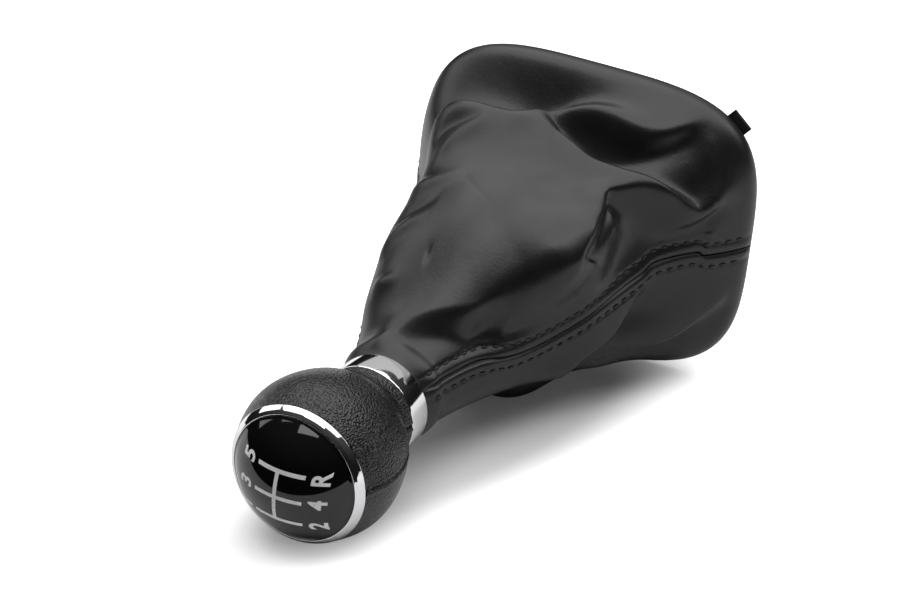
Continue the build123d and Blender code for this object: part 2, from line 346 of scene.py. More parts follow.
def bright_chrome():
    """Chrome plate over moulded ABS: a clear mirror, a little hazy where it was handled."""
    material, tree = new_material("bright chrome plate")
    haze_mm = 11.11
    place = add(tree, "ShaderNodeTexCoord").outputs["Object"]
    haze = noise(tree, place, haze_mm, 3.0)
    gloss = add(tree, "ShaderNodeMapRange", Value=haze.outputs[0], To_Min=0.03, To_Max=0.10)
    plate = add(tree, "ShaderNodeBsdfPrincipled", Base_Color=linear("#e6e6e8"), Metallic=1.0,
                Roughness=gloss.outputs[0])
    add(tree, "ShaderNodeOutputMaterial", Surface=plate.outputs[0])
    return material


def print_white():
    """Pad-printed ink: flat off-white, a little uneven."""
    material, tree = new_material("white pad print")
    blot_mm = 1.111
    place = add(tree, "ShaderNodeTexCoord").outputs["Object"]
    cover = noise(tree, place, blot_mm, 2.0)
    tint = add(tree, "ShaderNodeValToRGB", Fac=cover.outputs[0])
    tint.color_ramp.elements[0].color = linear("#ececec")
    tint.color_ramp.elements[1].color = linear("#ffffff")
    ink = add(tree, "ShaderNodeBsdfPrincipled", Base_Color=tint.outputs[0], Roughness=0.35)
    add(tree, "ShaderNodeOutputMaterial", Surface=ink.outputs[0])
    return material


def grained_skin():
    """Polyurethane skin with an embossed pebble grain: satin, and its pebbles sparkle in a lamp."""
    material, tree = new_material("embossed polyurethane skin")
    pebble_mm = 0.72
    crease_mm = pebble_mm / 0.7
    place = add(tree, "ShaderNodeTexCoord").outputs["Object"]
    pebbles = add(tree, "ShaderNodeTexVoronoi", {"feature": "SMOOTH_F1"}, Vector=place,
                  Scale=1 / (pebble_mm * MM), Smoothness=0.6)
    creases = noise(tree, place, crease_mm, 3.0)
    uneven = add(tree, "ShaderNodeMath", {"operation": "MULTIPLY"}, _0=creases.outputs[0], _1=0.35)
    relief = add(tree, "ShaderNodeMath", {"operation": "SUBTRACT"}, _0=uneven.outputs[0],
                 _1=pebbles.outputs["Distance"])
    bump = add(tree, "ShaderNodeBump", Strength=0.9, Distance=0.5 * MM, Height=relief.outputs[0])
    gloss = add(tree, "ShaderNodeMapRange", Value=creases.outputs[0], To_Min=0.18, To_Max=0.30)
    skin = add(tree, "ShaderNodeBsdfPrincipled", Base_Color=linear("#0c0c0d"), IOR=1.5,
               Roughness=gloss.outputs[0], Normal=bump.outputs[0])
    add(tree, "ShaderNodeOutputMaterial", Surface=skin.outputs[0])
    return material


abs_gloss = piano_black()
chrome = bright_chrome()
ink = print_white()
grip_skin = grained_skin()
print("knob finishes:", abs_gloss.name, chrome.name, ink.name, grip_skin.name)

# %% [markdown]
# ## Finishes of the gaiter
# The gaiter is black nappa: cowhide with a thin pigment coat, satin rather than glossy, with a fine grain
# that shows only where light grazes it. The thread is black bonded polyester. The frame and the core are
# plain moulded plastics that take a fine spark-eroded texture from their moulds.

# %% Leather, thread and plain mouldings
def nappa_leather():
    """Pigmented nappa: satin black, fine pores, soft creases and a few lighter rubbed places."""
    material, tree = new_material("black nappa leather")
    pore_mm = 0.9
    crease_mm = 9.0
    cloud_mm = 28.0
    place = add(tree, "ShaderNodeTexCoord").outputs["Object"]
    pores = add(tree, "ShaderNodeTexVoronoi", {"feature": "SMOOTH_F1"}, Vector=place,
                Scale=1 / (pore_mm * MM), Smoothness=0.5)
    soft = noise(tree, place, crease_mm, 5.0)
    cloudy = noise(tree, place, cloud_mm, 3.0)
    fine = add(tree, "ShaderNodeBump", Strength=0.18, Distance=0.12 * MM, Height=pores.outputs["Distance"])
    fine.invert = True
    bump = add(tree, "ShaderNodeBump", Strength=0.25, Distance=0.5 * MM, Height=soft.outputs[0],
               Normal=fine.outputs[0])
    tint = add(tree, "ShaderNodeValToRGB", Fac=cloudy.outputs[0])
    tint.color_ramp.elements[0].color = linear("#0d0d0e")
    tint.color_ramp.elements[1].color = linear("#141415")
    gloss = add(tree, "ShaderNodeMapRange", Value=soft.outputs[0], To_Min=0.33, To_Max=0.44)
    hide = add(tree, "ShaderNodeBsdfPrincipled", Base_Color=tint.outputs[0], IOR=1.5,
               Roughness=gloss.outputs[0], Normal=bump.outputs[0])
    add(tree, "ShaderNodeOutputMaterial", Surface=hide.outputs[0])
    return material


def bonded_thread():
    """Bonded polyester thread: black, with a slight waxy shine along its twist."""
    material, tree = new_material("black bonded thread")
    twist_mm = 0.35
    # A wave texture of scale 1 repeats about every 0.3 units
    wave_repeat = 0.3
    place = add(tree, "ShaderNodeTexCoord").outputs["Object"]
    twist = add(tree, "ShaderNodeTexWave", {"bands_direction": "DIAGONAL"}, Vector=place,
                Scale=wave_repeat / (twist_mm * MM), Distortion=0.5)
    bump = add(tree, "ShaderNodeBump", Strength=0.4, Distance=0.08 * MM, Height=twist.outputs["Fac"])
    fibre = add(tree, "ShaderNodeBsdfPrincipled", Base_Color=linear("#161617"), Roughness=0.45,
                Normal=bump.outputs[0])
    add(tree, "ShaderNodeOutputMaterial", Surface=fibre.outputs[0])
    return material


def textured_moulding(name, shade):
    """Plain moulded plastic: matt, with the fine spark-eroded texture of its mould."""
    material, tree = new_material(name)
    grit_mm = 0.5
    flow_mm = 22.0
    place = add(tree, "ShaderNodeTexCoord").outputs["Object"]
    grit = noise(tree, place, grit_mm, 2.0)
    bump = add(tree, "ShaderNodeBump", Strength=0.25, Distance=0.06 * MM, Height=grit.outputs[0])
    flow = noise(tree, place, flow_mm, 2.0)
    gloss = add(tree, "ShaderNodeMapRange", Value=flow.outputs[0], To_Min=0.48, To_Max=0.62)
    body = add(tree, "ShaderNodeBsdfPrincipled", Base_Color=linear(shade), IOR=1.49,
               Roughness=gloss.outputs[0], Normal=bump.outputs[0])
    add(tree, "ShaderNodeOutputMaterial", Surface=body.outputs[0])
    return material


def clamp_steel():
    """Zinc-plated strip steel: grey metal, drawn along its length."""
    material, tree = new_material("zinc-plated strip steel")
    streak_mm = 8.0
    drawn_thin = (1, 25, 1)
    place = add(tree, "ShaderNodeTexCoord").outputs["Object"]
    drawn = add(tree, "ShaderNodeMapping", Vector=place, Scale=drawn_thin)
    streaks = noise(tree, drawn.outputs[0], streak_mm, 3.0)
    gloss = add(tree, "ShaderNodeMapRange", Value=streaks.outputs[0], To_Min=0.24, To_Max=0.42)
    strip = add(tree, "ShaderNodeBsdfPrincipled", Base_Color=linear("#b9bbbd"), Metallic=1.0,
                Roughness=gloss.outputs[0])
    add(tree, "ShaderNodeOutputMaterial", Surface=strip.outputs[0])
    return material


leather = nappa_leather()
thread = bonded_thread()
core_plastic = textured_moulding("black moulded nylon", "#202021")
frame_plastic = textured_moulding("black moulded polypropylene", "#1b1b1c")
steel = clamp_steel()
print("gaiter finishes:", leather.name, thread.name, core_plastic.name, frame_plastic.name, steel.name)

# %% [markdown]
# ## Pieces that keep their CAD shape
# The core, the retainer ring, the ear clamp and the frame are right as they are. They only need finishes.

# %% Finish the rigid inner pieces
INNER_FINISHES = {
    "knob_core": core_plastic,
    "gaiter_retainer": core_plastic,
    "sleeve_clamp": steel,
    "gaiter_frame": frame_plastic,
}
for node, finish in INNER_FINISHES.items():
    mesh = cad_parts[node].data
    mesh.materials.clear()
    mesh.materials.append(finish)
print("finished CAD nodes:", list(INNER_FINISHES))

# %% [markdown]
# ## Cap, bezel and collar
# These three are bodies of revolution, so each is a side outline spun about the lever's axis. Their sizes
# come from the boxes of the CAD nodes. The bezel's band is a slightly rounded cone that ends in a thin
# inner lip, and a dark line parts the lip from the cap.

# %% Turned shells of the knob
cap_low, cap_high = (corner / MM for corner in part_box("pattern_cap"))
bezel_low, bezel_high = (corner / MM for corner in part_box("cap_bezel"))
collar_low, collar_high = (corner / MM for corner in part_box("neck_collar"))

CAP_RADIUS = cap_high.x
CAP_APEX = cap_low.y
CAP_EDGE = bezel_low.y + 0.3
CAP_SKIRT = bezel_high.y - 1.2
CAP_SKIRT_INSET = 1.8
CAP_CORNER = 1.6
CAP_WALL = 2.0
CAP_BEVEL = 0.35
CAP_PLAY = 0.03
# Rounded edge of the cap's face: inset from its radius, place behind the end of the face
CAP_BEVEL_PLACES = [(0.12, 0.09), (CAP_PLAY, 0.3)]
CAP_FACE_STEPS = 40
SPIN_MIDDLE = 0.01
BEZEL_RADIUS = bezel_high.x
BEZEL_TOP = bezel_low.y
BEZEL_FOOT = BEZEL_TOP + 2.8
BEZEL_BACK = bezel_high.y
BEZEL_FLANGE = 1.0
BEZEL_LIP = CAP_RADIUS + 0.06
# Inner lip: places outward of the lip's wall and behind the bezel's top
LIP_PLACES = [(0.0, 1.4), (0.0, 0.15), (0.12, 0.0), (0.5, 0.02), (0.62, 0.2)]
# Outer foot: insets from the bezel's radius
FOOT_ROUND = 0.2
FOOT_INSET = 1.7
SHANK_INSET = 1.8
BAND_RADIUS = 8.0
BAND_MIDDLE = (BEZEL_RADIUS - 7.48, BEZEL_FOOT + 2.8)
BAND_TURNS = (-38.6, -21.4)
BAND_STEPS = 14


def dome_place(radius):
    """Place along Y of the cap's domed face at a radius."""
    rise = CAP_EDGE - CAP_APEX
    sphere = (CAP_RADIUS**2 + rise**2) / (2 * rise)
    return CAP_APEX + sphere - np.sqrt(sphere**2 - np.minimum(radius, CAP_RADIUS) ** 2)


face_end = dome_place(CAP_RADIUS - CAP_BEVEL)
face_radii = np.linspace(SPIN_MIDDLE, CAP_RADIUS - CAP_BEVEL, CAP_FACE_STEPS)
cap_outline = (
    [(radius, dome_place(radius)) for radius in face_radii]
    + [(CAP_RADIUS - inset, face_end + behind) for inset, behind in CAP_BEVEL_PLACES]
    + [(CAP_RADIUS - CAP_PLAY, CAP_SKIRT), (CAP_RADIUS - CAP_SKIRT_INSET, CAP_SKIRT)]
    + [(CAP_RADIUS - CAP_WALL, CAP_EDGE + CAP_CORNER), (SPIN_MIDDLE, CAP_APEX + CAP_WALL)]
)
cap = spun("domed_cap", cap_outline)
cap.data.materials.append(abs_gloss)
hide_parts("pattern_cap")
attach(cap, "knob")

bezel_outline = (
    [(BEZEL_LIP + outward, BEZEL_TOP + behind) for outward, behind in LIP_PLACES]
    + arc(BAND_MIDDLE, BAND_RADIUS, *BAND_TURNS, BAND_STEPS)
    + [(BEZEL_RADIUS - FOOT_ROUND, BEZEL_FOOT), (BEZEL_RADIUS - FOOT_INSET, BEZEL_FOOT)]
    + [(BEZEL_RADIUS - SHANK_INSET, BEZEL_BACK), (CAP_RADIUS - CAP_WALL, BEZEL_BACK)]
    + [(CAP_RADIUS - CAP_WALL, BEZEL_BACK - BEZEL_FLANGE), (BEZEL_LIP, BEZEL_BACK - BEZEL_FLANGE)]
)
bezel = spun("chrome_bezel", bezel_outline)
bezel.data.materials.append(chrome)
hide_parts("cap_bezel")
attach(bezel, "knob")

COLLAR_RADIUS = collar_high.x
COLLAR_ROUND = 0.55
COLLAR_WALL = 0.8
COLLAR_FLOOR = 1.4
COLLAR_BORE = 9.2
ROUND_STEPS = 7
collar_inside = COLLAR_RADIUS - COLLAR_WALL
round_middle = COLLAR_RADIUS - COLLAR_ROUND
collar_outline = (
    [(collar_inside, collar_high.y - (COLLAR_WALL - COLLAR_ROUND)), (round_middle, collar_high.y)]
    + arc((round_middle, collar_high.y - COLLAR_ROUND), COLLAR_ROUND, 90, 0, ROUND_STEPS)
    + arc((round_middle, collar_low.y + COLLAR_ROUND), COLLAR_ROUND, 0, -90, ROUND_STEPS)
    + [(COLLAR_BORE, collar_low.y), (COLLAR_BORE, collar_low.y + COLLAR_FLOOR)]
    + [(collar_inside, collar_low.y + COLLAR_FLOOR)]
)
collar = spun("chrome_collar", collar_outline)
collar.data.materials.append(chrome)
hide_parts("neck_collar")
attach(collar, "knob")
radii = {"cap": CAP_RADIUS, "bezel": BEZEL_RADIUS, "collar": COLLAR_RADIUS}
print("radii in mm:", {name: round(radius, 2) for name, radius in radii.items()})

# %% [markdown]
# ## Grip
# The skin follows the CAD outline, a smooth curve through a waist behind the collar and the ball. It is
# spun with a fine mesh, and the closed seam on its two sides is pressed in as a groove with a swollen
# edge.

# %% Grained grip
GRIP_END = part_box("grip_cover")[1].y / MM
GRIP_SKIN = 1.7
# Radius and distance from the end at the collar
GRIP_PLACES = [
    (17.6, 0.0),
    (17.1, 3.0),
    (21.7, 11.0),
    (26.7, 21.3),
    (28.3, 33.3),
    (25.0, 44.8),
]
GRIP_SEAM_TURNS = (0.0, 180.0)
GRIP_SEAM_DEPTH = 1.1
GRIP_SEAM_WIDTH = 0.5
GRIP_EDGE_HEIGHT = 0.25
GRIP_EDGE_PLACE = 1.3
GRIP_EDGE_WIDTH = 0.8
GRIP_STEPS = 150
GRIP_COLUMNS = 420


def smooth_curve(points, steps):
    """Points on a natural cubic curve, spaced by the chords of the given points' first two columns."""
    points = np.asarray(points, float)
    knots = lengths_along(points[:, :2])
    count = len(points)
    spans = np.diff(knots)
    system = np.eye(count)
    pull = np.zeros_like(points)
    for k in range(1, count - 1):
        system[k, k - 1:k + 2] = (spans[k - 1], 2 * (spans[k - 1] + spans[k]), spans[k])
        pull[k] = 6 * ((points[k + 1] - points[k]) / spans[k] - (points[k] - points[k - 1]) / spans[k - 1])
    bend = np.linalg.solve(system, pull)
    places = np.linspace(0, knots[-1], steps)
    span = np.clip(np.searchsorted(knots, places, side="right") - 1, 0, count - 2)
    left = ((knots[span + 1] - places) / spans[span])[:, None]
    right = 1 - left
    width = spans[span][:, None] ** 2 / 6
    return (left * points[span] + right * points[span + 1]
            + width * ((left**3 - left) * bend[span] + (right**3 - right) * bend[span + 1]))


grip_side = smooth_curve([(radius, GRIP_END - place) for radius, place in GRIP_PLACES], GRIP_STEPS)
grip_turns = np.linspace(0, 2 * math.pi, GRIP_COLUMNS, endpoint=False)
from_seam = np.min([
    np.abs((np.degrees(grip_turns) - seam + 180) % 360 - 180) for seam in GRIP_SEAM_TURNS
], axis=0)


def grip_ring(reach, place):
    """One ring of points about the lever's axis."""
    x = reach * np.cos(grip_turns)
    z = reach * np.sin(grip_turns)
    return np.stack([x, np.full_like(x, place), z], axis=-1)


def seam_groove(radius):
    """How deep the seam is pressed into the skin around a ring, less the swollen edge beside it."""
    off = np.radians(from_seam) * radius
    edge = GRIP_EDGE_HEIGHT * np.exp(-((off - GRIP_EDGE_PLACE) / GRIP_EDGE_WIDTH) ** 2)
    return GRIP_SEAM_DEPTH * np.exp(-(off / GRIP_SEAM_WIDTH) ** 2) - edge


grip_rows = [grip_ring(radius - seam_groove(radius), place) for radius, place in grip_side]
grip_rows += [grip_ring(radius - GRIP_SKIN, place) for radius, place in (grip_side[-1], grip_side[0])]
grip_rows.append(grip_rows[0])
grip_points = np.concatenate(grip_rows)
grip = mesh_piece("grained_grip", grip_points, grid_faces(len(grip_rows), len(grip_turns), closed=True))
point_outward(grip)
grip.data.materials.append(grip_skin)
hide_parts("grip_cover")
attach(grip, "knob")
print("grip points:", len(grip_points))

# %% [markdown]
# ## Printed shift pattern
# The pattern is a plain five-speed gate. It reads with the cap turned a quarter to the left, so its right
# side points up and its top to the left. Bars are narrow strips with enough steps to lie on the dome, and
# the figures are text that is turned into a mesh, cut finer, and laid on the dome point by point.

# %% Shift pattern
PRINT_LIFT = 0.05
BAR_WIDTH = 1.35
BAR_STEPS = 24
GATE_STEP = 9.1
GATE_TOP = 8.3
GATE_FOOT = -8.8
GATE_CROSS = 0.5
FIGURE_SIZE = 7.2
FIGURE_WEIGHT = 0.03
FIGURE_GAP = 4.5
FIGURE_CUTS = 4
FIGURE_STEP = 0.9
PATTERN_RIGHT = -0.7
PATTERN_UP = -0.2
PATTERN_TURN = math.radians(6.5)


def on_cap(across, upward):
    """Point of the cap's face for a place on the pattern, in millimetres."""
    x = -(upward * math.cos(PATTERN_TURN) - across * math.sin(PATTERN_TURN) + PATTERN_UP)
    z = across * math.cos(PATTERN_TURN) + upward * math.sin(PATTERN_TURN) + PATTERN_RIGHT
    return (x, dome_place(np.hypot(x, z)) - PRINT_LIFT, z)


def bar(first, last):
    """A printed bar between two places on the pattern."""
    first = np.array(first, float)
    last = np.array(last, float)
    along = (last - first) / np.linalg.norm(last - first)
    side = np.array([-along[1], along[0]]) * BAR_WIDTH / 2
    points = []
    for share in np.linspace(0, 1, BAR_STEPS):
        middle = first + (last - first) * share
        points += [on_cap(*(middle - side)), on_cap(*middle), on_cap(*(middle + side))]
    return points, grid_faces(BAR_STEPS, 3)


def figure(sign, middle):
    """A printed figure, its middle at a place on the pattern."""
    curve = bpy.data.curves.new("figure", "FONT")
    curve.body = sign
    curve.size = 1.0
    curve.offset = FIGURE_WEIGHT
    writing = bpy.data.objects.new("figure", curve)
    bpy.context.scene.collection.objects.link(writing)
    bpy.context.view_layer.update()
    graph = bpy.context.evaluated_depsgraph_get()
    mesh = bpy.data.meshes.new_from_object(writing.evaluated_get(graph))
    fine = bmesh.new()
    fine.from_mesh(mesh)
    for _ in range(FIGURE_CUTS):
        longer = [edge for edge in fine.edges if edge.calc_length() * FIGURE_SIZE > FIGURE_STEP]
        bmesh.ops.subdivide_edges(fine, edges=longer, cuts=1)
        bmesh.ops.triangulate(fine, faces=fine.faces)
    fine.to_mesh(mesh)
    fine.free()
    flat = np.array([vertex.co[:2] for vertex in mesh.vertices])
    faces = [tuple(face.vertices) for face in mesh.polygons]
    bpy.data.objects.remove(writing)
    bpy.data.meshes.remove(mesh)
    flat -= (flat.min(axis=0) + flat.max(axis=0)) / 2
    flat *= FIGURE_SIZE
    return [on_cap(*(place + np.array(middle))) for place in flat], faces


gates = {-GATE_STEP: ("1", "2"), 0.0: ("3", "4"), GATE_STEP: ("5", "R")}
marks = [bar((-GATE_STEP, GATE_CROSS), (GATE_STEP, GATE_CROSS))]
for across, (above, below) in gates.items():
    marks.append(bar((across, GATE_TOP), (across, GATE_FOOT)))
    marks.append(figure(above, (across, GATE_TOP + FIGURE_GAP)))
    marks.append(figure(below, (across, GATE_FOOT - FIGURE_GAP)))
print_points, print_faces = joined(marks)
pattern = mesh_piece("printed_pattern", print_points, print_faces, smooth=False)
pattern.data.materials.append(ink)
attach(pattern, "knob")
print("pattern faces:", len(print_faces))

# %% [markdown]
# ## The slack leather
# The gaiter is two panels of leather, sewn to each other at the front and the rear, pinched at the collar
# and turned over the frame at the rim. Cloth simulation would give it some folds, but not the ones that
# this one has. So its surface is worked out: a flare from round neck to rounded-square rim, broad swells,
# and folds that run along lines drawn on it. A place on it is given by how far along it lies, 0
# at the collar and 1 at the rim, and by its turn about the lever, 0 at the rear seam and 90 on top.

# %% Plain flare of the gaiter
COLLAR_END = collar_high.y
GAITER_LENGTH = 115.0
RIM_MIDDLE = np.array([20.0, 31.5])
RIM_SIZE = np.array([132.5, 111.0])
RIM_SQUARENESS = 3.6
RIM_ROLL = 5.0
NECK_RADIUS = 16.6
LEATHER = 1.3
# How late the flare opens: in the mean, more towards the rear seam, less on top
FLARE_BEND = 1.25
FLARE_BEND_REAR = 0.2
FLARE_BEND_TOP = -0.15


def rim_reach(turn, inset=0.0):
    """Radius of the rounded-square rim at a turn in degrees."""
    across = np.abs(np.cos(np.radians(turn)) / (RIM_SIZE[0] / 2 - inset))
    upward = np.abs(np.sin(np.radians(turn)) / (RIM_SIZE[1] / 2 - inset))
    return (across**RIM_SQUARENESS + upward**RIM_SQUARENESS) ** (-1 / RIM_SQUARENESS)


def flare(turn, along):
    """Radius of the plain flare from neck to rim."""
    about = np.radians(turn)
    widening = FLARE_BEND + FLARE_BEND_REAR * np.cos(about) + FLARE_BEND_TOP * np.sin(about)
    return NECK_RADIUS + (rim_reach(turn) - NECK_RADIUS) * np.clip(along, 0, 1) ** widening


def gaiter_place(turn, along, reach):
    """Points of the gaiter for a turn, a place along it and a radius."""
    turned = np.radians(turn - RIM_ROLL * along)
    return np.stack([
        RIM_MIDDLE[0] * along + reach * np.cos(turned),
        COLLAR_END + GAITER_LENGTH * along,
        RIM_MIDDLE[1] * along + reach * np.sin(turned),
    ], axis=-1)


def ease(value):
    """Smooth step from 0 to 1."""
    value = np.clip(value, 0, 1)
    return value * value * (3 - 2 * value)


def swell(distance):
    """Smooth hump: one at its middle, nothing from one unit away."""
    return 0.5 + 0.5 * np.cos(np.pi * np.minimum(np.abs(distance), 1))


# Broad swells: place along, turn, half length, half turn, height
SWELLS = {
    "crown": (0.43, 88.0, 0.30, 58.0, 8.0),
    "shoulder": (0.48, 45.0, 0.24, 34.0, 12.0),
    "pocket under the shoulder": (0.71, 24.0, 0.18, 24.0, -6.5),
    "hollow left of the crown": (0.68, 165.0, 0.28, 42.0, -10.0),
    "fullness behind the collar": (0.045, 0.0, 0.045, 1000.0, 1.2),
    "hollow beside the neck": (0.13, 140.0, 0.13, 50.0, -3.5),
    "gutter behind the brow": (0.885, 104.0, 0.115, 50.0, -10.0),
    "rear hollow": (0.76, 0.0, 0.24, 44.0, -6.0),
    "bulge beside the crown": (0.41, 38.0, 0.16, 24.0, 6.5),
    "dip above the rear seam": (0.30, 28.0, 0.17, 28.0, -4.0),
    "rear belly": (0.61, 276.0, 0.26, 32.0, 11.2),
    "front belly": (0.64, 241.0, 0.28, 34.0, 13.8),
    "hollow under the rim": (0.85, 265.0, 0.15, 70.0, -4.0),
}
print("rim", RIM_SIZE, "mm, neck radius", NECK_RADIUS, "mm")

# %% [markdown]
# A fold has a crest line, a rounded near side and a drop on the other side that climbs back to the plain
# surface further off. Distances to the crest are measured on the unrolled leather, in millimetres.

# %% Folds along drawn lines
# Crest places are (along, turn, crest height, drop depth). The drop lies on one side as the line runs.
# Near is the width of the other side, steep how soon the drop falls and reach how far it goes, in
# millimetres.
FOLDS = {
    "brow": {
        "crest": [
            (0.7, 152, 0, 0), (0.765, 142, 2, 2), (0.8, 132, 3.5, 4), (0.795, 121, 3, 5),
            (0.79, 112, 2.5, 5), (0.8, 104, 2.5, 4), (0.825, 96, 2, 2), (0.84, 89, 0, 0)
        ],
        "drop_side": "left", "near": 12, "steep": 3.5, "reach": 12,
    },
    "lip": {
        "crest": [
            (0.82, 110, 0, 0), (0.845, 102, 4, 0), (0.862, 92, 7, 2), (0.872, 82, 7.5, 5),
            (0.872, 72, 5.5, 8), (0.868, 62, 3, 10), (0.885, 54, 1.5, 8), (0.93, 50, 1, 5),
            (0.955, 49, 0.5, 2), (0.975, 48, 0, 0)
        ],
        "drop_side": "right", "near": 5, "steep": 4, "reach": 14,
    },
    "diagonal": {
        "crest": [
            (0.82, 104, 0, 0), (0.8, 94, 1.5, 2), (0.775, 84, 2.5, 4), (0.757, 74, 3, 6),
            (0.746, 65, 3, 7), (0.748, 58, 3, 7), (0.752, 50, 3, 7), (0.767, 42, 2.5, 6),
            (0.787, 35, 2.5, 5), (0.807, 30, 2, 4), (0.832, 24, 1.5, 2), (0.85, 21, 0, 0)
        ],
        "drop_side": "left", "near": 6, "steep": 3.5, "reach": 12,
    },
    "pocket": {
        "crest": [
            (0.405, 28, 0, 0), (0.422, 34, 0.3, 1.5), (0.44, 39, 0.6, 3), (0.47, 41.5, 1, 4),
            (0.515, 43.5, 1.5, 4.5), (0.573, 46, 2, 5), (0.63, 49, 2.2, 5), (0.668, 51, 2.4, 5),
            (0.705, 47.5, 2.6, 5.5), (0.738, 43, 3, 6), (0.772, 36.5, 3.2, 6), (0.795, 31, 3.4, 6),
            (0.822, 24.5, 3.6, 4.5), (0.843, 22, 3.6, 3.5), (0.868, 22.5, 3.4, 3),
            (0.892, 23.5, 3, 2.5), (0.915, 23.5, 2, 2), (0.94, 22, 0.8, 1), (0.96, 20, 0, 0)
        ],
        "drop_side": "right", "near": 5, "steep": 3.2, "reach": 9,
    },
    "crease beside the bulge": {
        "crest": [
            (0.64, 77, 0, 0), (0.6, 69, -1, 0), (0.49, 56, -1.8, 0), (0.45, 48, -2, 0),
            (0.442, 42, -1.4, 0), (0.435, 37, 0, 0)
        ],
        "drop_side": "right", "near": 5, "steep": 5, "reach": 8,
    },
    "low ridge": {
        "crest": [
            (0.03, 113, 0, 0), (0.077, 105, 0.8, 1.5), (0.115, 97, 1, 2.5), (0.155, 85, 1.2, 4),
            (0.203, 66, 1.4, 5), (0.25, 54, 1.4, 5), (0.3, 48, 1, 3.5), (0.34, 42, 0, 0)
        ],
        "drop_side": "right", "near": 10, "steep": 5, "reach": 16,
    },
    "rear pleat": {
        "crest": [
            (0.56, -62, 0, 0), (0.535, -46, 1, 4), (0.525, -34, 2, 7), (0.545, -25, 2, 8),
            (0.61, -19.5, 2, 8), (0.68, -11, 1.5, 6), (0.74, -2, 0.5, 2), (0.77, 4, 0, 0)
        ],
        "drop_side": "right", "near": 8, "steep": 3.5, "reach": 13,
    },
    "lower pleat": {
        "crest": [
            (0.62, -38, 0, 0), (0.69, -31.5, 2, 4), (0.75, -29, 3, 6), (0.81, -27, 3, 6),
            (0.88, -20.5, 2, 4), (0.935, -14, 1, 2), (0.965, -8, 0, 0)
        ],
        "drop_side": "right", "near": 8, "steep": 4, "reach": 12,
    },
}

# Wrinkles of the dome: places (along, turn, height) and width in millimetres
WRINKLES = {
    "upper edge of the dome": {
        "line": [(0.645, 135, 0), (0.66, 129, 1), (0.7, 123, 1.2), (0.735, 117, 1), (0.78, 109, 0)],
        "width": 3.0,
    },
    "groove over that edge": {
        "line": [(0.7, 138, 0), (0.73, 132, -1.2), (0.745, 125, -1.2), (0.76, 118, 0)],
        "width": 2.5,
    },
    "upper wrinkle": {
        "line": [(0.56, 144, 0), (0.547, 136, 1.3), (0.54, 127, 1.5), (0.553, 118, 1), (0.565, 110, 0)],
        "width": 3.0,
    },
    "middle wrinkle": {
        "line": [(0.36, 152, 0), (0.378, 143, 1.3), (0.4, 134, 1.5), (0.412, 125, 1), (0.42, 117, 0)],
        "width": 3.0,
    },
    "furrow over it": {
        "line": [(0.44, 146, 0), (0.46, 136, -1.1), (0.468, 125, -1.2), (0.472, 115, 0)],
        "width": 3.0,
    },
    "lower wrinkle": {
        "line": [(0.243, 146, 0), (0.24, 137, 1.1), (0.238, 128, 1.1), (0.243, 119, 0)],
        "width": 2.5,
    },
    "dimple": {
        "line": [(0.297, 106, 0), (0.3, 103, -0.9), (0.303, 100, 0)],
        "width": 2.6,
    },
    "fine crease": {
        "line": [(0.57, 113, 0), (0.53, 104, -0.22), (0.47, 88, -0.25), (0.405, 67, 0)],
        "width": 0.8,
    },
}

# Steps of a drawn line for each of its places
CREST_STEPS = 8
# The turn at which the count starts over lies under the part, where no fold runs
FIRST_TURN = -110.0
# Share of the length at collar and rim over which the folds fade out
HELD_SHARE = 0.05


def crest_distance(turn, along, crest):
    """Distance to a crest line in millimetres, the side it lies on, and the crest's height and drop there."""
    crest = np.array(crest, float)
    girth = np.mean(flare(crest[:, 1], crest[:, 0]))
    unrolled = np.column_stack([crest[:, 0] * GAITER_LENGTH, np.radians(crest[:, 1]) * girth, crest[:, 2:]])
    line = smooth_curve(unrolled, CREST_STEPS * len(crest))
    u = along * GAITER_LENGTH
    v = np.radians(turn) * girth
    nearest = np.full(u.shape, np.inf)
    side = np.zeros(u.shape)
    height = np.zeros(u.shape)
    drop = np.zeros(u.shape)
    for first, last in zip(line[:-1], line[1:]):
        du, dv = (last - first)[:2]
        passed = (u - first[0]) * du + (v - first[1]) * dv
        share = np.clip(passed / (du * du + dv * dv), 0, 1)
        off_u = u - first[0] - share * du
        off_v = v - first[1] - share * dv
        off = np.hypot(off_u, off_v)
        closer = off < nearest
        nearest = np.where(closer, off, nearest)
        side = np.where(closer, np.sign(du * off_v - dv * off_u), side)
        height = np.where(closer, first[2] + share * (last[2] - first[2]), height)
        drop = np.where(closer, first[3] + share * (last[3] - first[3]), drop)
    return nearest, side, height, drop


def fold_height(turn, along, crest, drop_side, near, steep, reach):
    """Height that one fold adds to the gaiter's radius."""
    off, side, height, drop = crest_distance(turn, along, crest)
    top = np.exp(-(off / steep) ** 2)
    near_side = height * np.exp(-(off / near) ** 2)
    far_side = height * top - drop * (1 - top) * np.exp(-(off / reach) ** 2)
    dropping = side > 0 if drop_side == "left" else side < 0
    return np.where(dropping, far_side, near_side)


def slack_reach(turn, along):
    """Radius of the slack gaiter: flare, swells, wrinkles and folds."""
    turn = (np.asarray(turn, float) - FIRST_TURN) % 360 + FIRST_TURN
    along = np.asarray(along, float)
    reach = flare(turn, along)
    for place, middle, half_length, half_turn, height in SWELLS.values():
        around = (turn - middle + 180) % 360 - 180
        reach = reach + height * swell((along - place) / half_length) * swell(around / half_turn)
    for wrinkle in WRINKLES.values():
        crest = [(*place, 0) for place in wrinkle["line"]]
        width = wrinkle["width"]
        reach = reach + fold_height(turn, along, crest, "left", width, width, width)
    held = ease((1 - along) / HELD_SHARE) * ease(along / HELD_SHARE)
    for fold in FOLDS.values():
        reach = reach + held * fold_height(turn, along, **fold)
    return reach


print("folds:", list(FOLDS))

